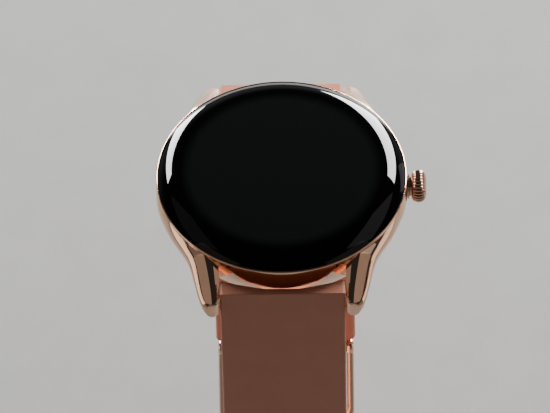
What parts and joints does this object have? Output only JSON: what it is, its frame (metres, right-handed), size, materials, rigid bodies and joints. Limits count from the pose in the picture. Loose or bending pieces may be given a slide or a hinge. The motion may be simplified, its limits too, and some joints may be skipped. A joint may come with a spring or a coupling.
{
  "type": "smartwatch",
  "caption": "Round smartwatch with a domed glass, polished case, fluted crown and open two-piece silicone strap with a pin buckle.",
  "frame": {"origin": "centre of the flat sensor window, the lowest face of the case back", "axes": "+Z out of the watch face, +X to 3 o'clock where the crown is, +Y to 12 o'clock; both strap halves hang towards -Z"},
  "size_m": [0.0433, 0.0489, 0.1088],
  "materials": {
    "rose_gold": "polished rose-gold plating",
    "glass": "clear polished glass with a black print behind it",
    "display": "dark display panel",
    "silicone": "matt moulded silicone",
    "steel": "turned steel",
    "gold_contact": "plated contact",
    "back_plastic": "fine matt",
    "sensor_glass": "polished dark tinted window",
    "inner_plastic": "moulded",
    "board": "coated circuit board",
    "chip": "moulded packages",
    "shield": "foil pouch",
    "seal": "black seal",
    "led": "clear lens",
    "flex": "polyimide flex"
  },
  "bodies": {
    "case": {"mid_case": "rose_gold", "glass": "glass", "display_seal": "seal", "display": "display", "display_flex": "flex", "inner_chassis": "inner_plastic", "main_board": "board", "board_chips": "chip", "battery": "shield", "vibration_motor": "steel", "switch_bracket": "steel", "side_switch": "inner_plastic", "back_cover": "back_plastic", "back_gasket": "seal", "back_screws": "steel", "sensor_window": "sensor_glass", "light_barrier": "inner_plastic", "sensor_board": "board", "sensor_leds": "led", "photodiodes": "chip", "charging_pins": "gold_contact", "crown_tube": "rose_gold"},
    "crown_push": {"crown_plunger": "steel"},
    "crown_knob": {"crown": "rose_gold", "crown_stem": "steel", "crown_orings": "seal"},
    "long_half": {"strap_long": "silicone", "spring_bar_lower": "steel", "bar_spring_lower": "steel"},
    "lever_lower": {"release_lever_lower": "steel"},
    "short_half": {"strap_short": "silicone", "spring_bar_upper": "steel", "bar_spring_upper": "steel", "keeper_fixed": "silicone"},
    "lever_upper": {"release_lever_upper": "steel"},
    "loose_keeper": {"keeper_free": "silicone"},
    "buckle": {"buckle_frame": "rose_gold", "buckle_bar": "steel"},
    "tang": {"buckle_tang": "rose_gold"}
  },
  "joints": [
    {"name": "crown_press", "type": "slide", "parent": "case", "child": "crown_push", "axis": [-1, 0, 0], "range_m": [0, 0.0003], "stiffness_N_per_m": 1500},
    {"name": "crown_turn", "type": "hinge", "parent": "crown_push", "child": "crown_knob", "pos_m": [0.0208, 0, 0.0055], "axis": [1, 0, 0], "continuous": true},
    {"name": "long_half_swing", "type": "hinge", "parent": "case", "child": "long_half", "pos_m": [0, -0.02064, 0.0034], "axis": [-1, 0, 0], "range_deg": [-6, 40]},
    {"name": "release_lower", "type": "slide", "parent": "long_half", "child": "lever_lower", "axis": [-1, 0, 0], "range_m": [0, 0.0012], "stiffness_N_per_m": 400, "deforming": ["bar_spring_lower"]},
    {"name": "short_half_swing", "type": "hinge", "parent": "case", "child": "short_half", "pos_m": [0, 0.02064, 0.0034], "axis": [1, 0, 0], "range_deg": [-6, 40]},
    {"name": "release_upper", "type": "slide", "parent": "short_half", "child": "lever_upper", "axis": [-1, 0, 0], "range_m": [0, 0.0012], "stiffness_N_per_m": 400, "deforming": ["bar_spring_upper"]},
    {"name": "keeper_slide", "type": "hinge", "parent": "short_half", "child": "loose_keeper", "pos_m": [0, -0.1378, -0.01887], "axis": [1, 0, 0], "range_deg": [0, 12.8]},
    {"name": "buckle_swing", "type": "hinge", "parent": "short_half", "child": "buckle", "pos_m": [0, 0.01755, -0.05715], "axis": [1, 0, 0], "range_deg": [-60, 25]},
    {"name": "tang_swing", "type": "hinge", "parent": "buckle", "child": "tang", "pos_m": [0, 0.01755, -0.05715], "axis": [1, 0, 0], "range_deg": [0, 80]}
  ]
}
